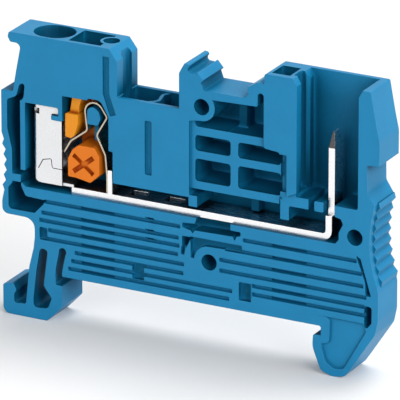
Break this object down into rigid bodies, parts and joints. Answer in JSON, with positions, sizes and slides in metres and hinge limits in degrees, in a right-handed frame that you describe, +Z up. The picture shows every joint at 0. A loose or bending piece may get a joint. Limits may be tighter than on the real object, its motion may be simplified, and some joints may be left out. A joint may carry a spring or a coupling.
{
  "type": "feed-through terminal block",
  "caption": "Slim rail-mounted terminal block: open-sided moulded housing with a current bar, a caged spring clamp with a release button, a plug pin and a springy rail foot.",
  "frame": {"origin": "middle of the rail seat, halfway through the block's width", "axes": "+X along the block from the clamp end to the plug end, +Z up from the rail, open side facing -Y"},
  "size_m": [0.05, 0.0064, 0.0362],
  "materials": {
    "housing": "satin moulded polyamide",
    "button": "satin moulded plastic",
    "tinned_metal": "tin plated",
    "spring_steel": "satin rolled strip"
  },
  "bodies": {
    "block": {"housing": "housing", "clamp_cage": "tinned_metal", "clamp_spring": "spring_steel", "current_bar": "tinned_metal"},
    "button": {"release_button": "button"}
  },
  "joints": [
    {"name": "button_slide", "type": "slide", "parent": "block", "child": "button", "axis": [0, 0, -1], "range_m": [0, 0.0009], "stiffness_N_per_m": 4000, "deforming": ["clamp_spring"]}
  ]
}
